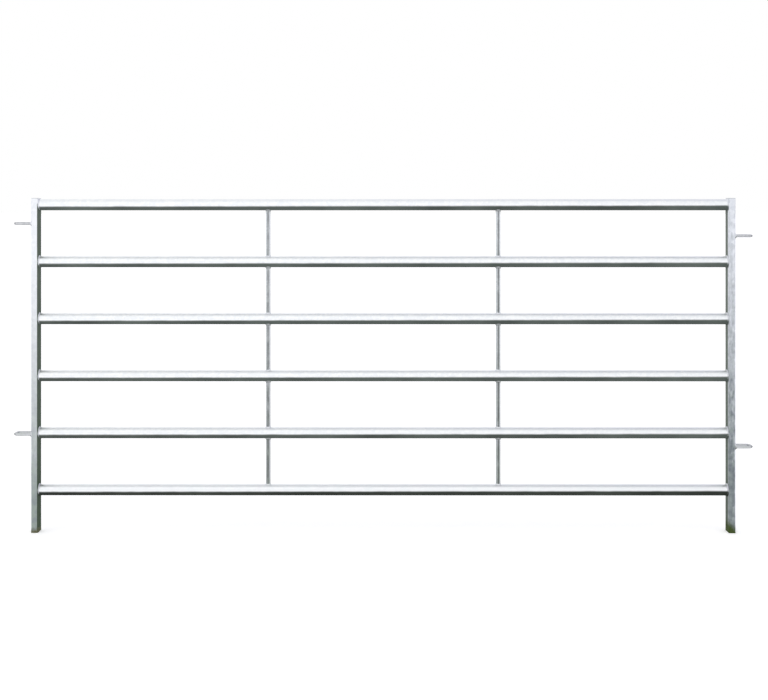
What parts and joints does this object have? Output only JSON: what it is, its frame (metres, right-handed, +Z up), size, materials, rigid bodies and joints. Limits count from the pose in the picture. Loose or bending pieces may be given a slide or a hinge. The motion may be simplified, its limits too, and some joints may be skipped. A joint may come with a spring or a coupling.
{
  "type": "cattle hurdle",
  "caption": "Welded galvanised cattle hurdle: round tube rails between box-section end posts, braced by short round-bar stays, with staggered bar loops at both ends for linking pins.",
  "frame": {"origin": "on the ground, under the middle of the hurdle's length and thickness", "axes": "+X along the hurdle towards its lower pair of loops, +Y through its thickness from front to back, +Z up"},
  "size_m": [3.206, 0.06, 1.45],
  "materials": {
    "box_section": "hot-dip galvanised, spangled, dulled near the ground",
    "rail_tube": "hot-dip galvanised, smooth and bright",
    "round_bar": "hot-dip galvanised, satin",
    "weld_metal": "fillet weld under zinc, lumpy"
  },
  "bodies": {
    "root": {"left_post": "box_section", "left_post_cap": "box_section", "right_post": "box_section", "right_post_cap": "box_section", "rail_1": "rail_tube", "rail_2": "rail_tube", "rail_3": "rail_tube", "rail_4": "rail_tube", "rail_5": "rail_tube", "rail_6": "rail_tube", "left_stay_1": "round_bar", "left_stay_2": "round_bar", "left_stay_3": "round_bar", "left_stay_4": "round_bar", "left_stay_5": "round_bar", "right_stay_1": "round_bar", "right_stay_2": "round_bar", "right_stay_3": "round_bar", "right_stay_4": "round_bar", "right_stay_5": "round_bar", "left_loops": "round_bar", "right_loops": "round_bar", "left_loop_welds": "weld_metal", "right_loop_welds": "weld_metal"}
  },
  "joints": []
}
